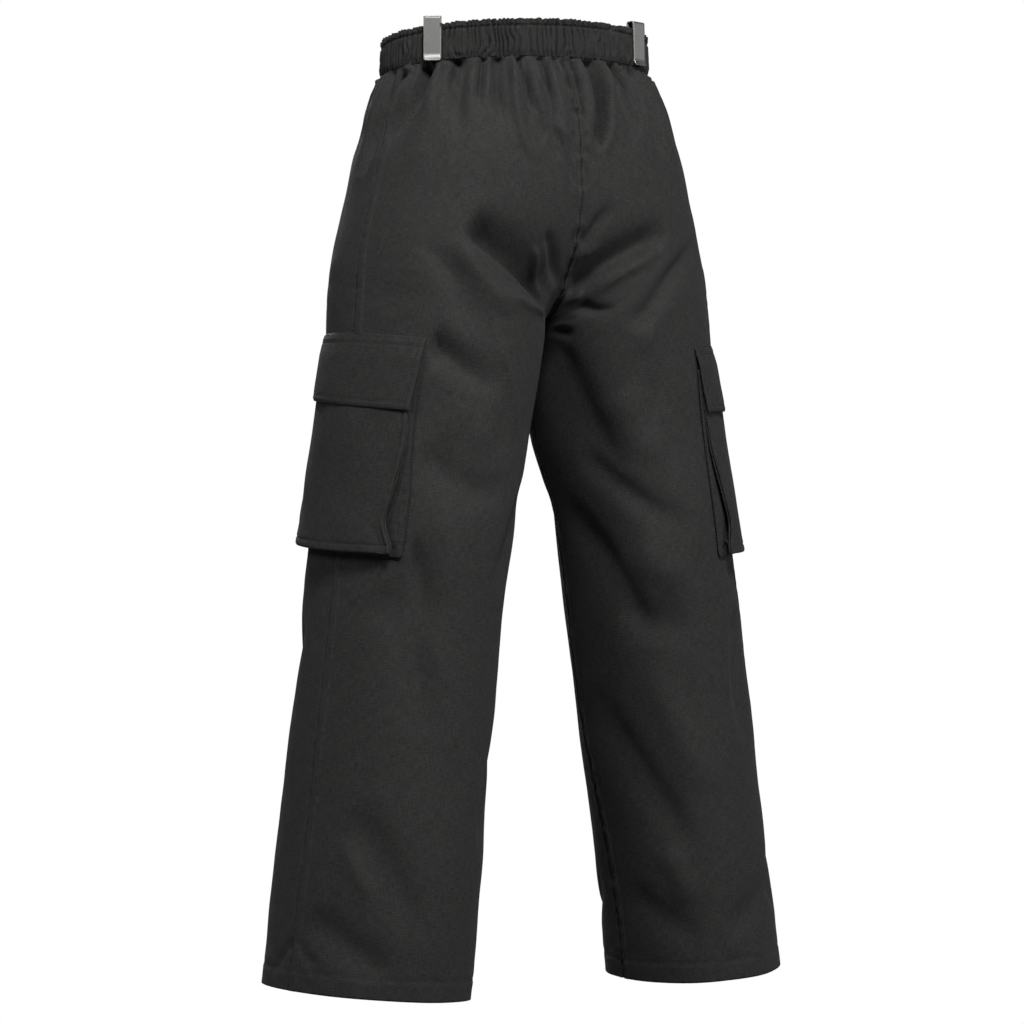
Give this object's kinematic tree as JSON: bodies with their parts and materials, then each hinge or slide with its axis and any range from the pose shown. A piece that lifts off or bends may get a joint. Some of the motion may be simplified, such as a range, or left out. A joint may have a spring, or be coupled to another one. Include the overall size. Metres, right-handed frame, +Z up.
{
  "type": "cargo trousers with two waistband clips",
  "caption": "Loose straight-leg trousers with a gathered elastic waist, bellows pockets with flaps on the outer thighs and clips on the waistband.",
  "frame": {"origin": "middle of the waist opening on the garment's middle plane, level with the middle of the waistband", "axes": "+Z up, +X to the wearer's left, +Y to the wearer's back, so the front faces -Y"},
  "size_m": [0.5844, 0.2695, 1.0045],
  "materials": {
    "leg_cloth": "plain-woven dark grey cotton blend, dull",
    "band_cloth": "the same cloth, tightly gathered over elastic",
    "pocket_cloth": "the same cloth, slightly darker where doubled",
    "clip": "bent sheet steel, fine brushed satin"
  },
  "bodies": {
    "root": {"back_left": "leg_cloth", "back_right": "leg_cloth", "front_left": "leg_cloth", "front_right": "leg_cloth", "waistband": "band_cloth", "pocket_face_left": "pocket_cloth", "pocket_face_right": "pocket_cloth", "pocket_gusset_left": "pocket_cloth", "pocket_gusset_right": "pocket_cloth", "pocket_flap_left": "pocket_cloth", "pocket_flap_right": "pocket_cloth", "clip_left": "clip", "clip_right": "clip"}
  },
  "joints": []
}
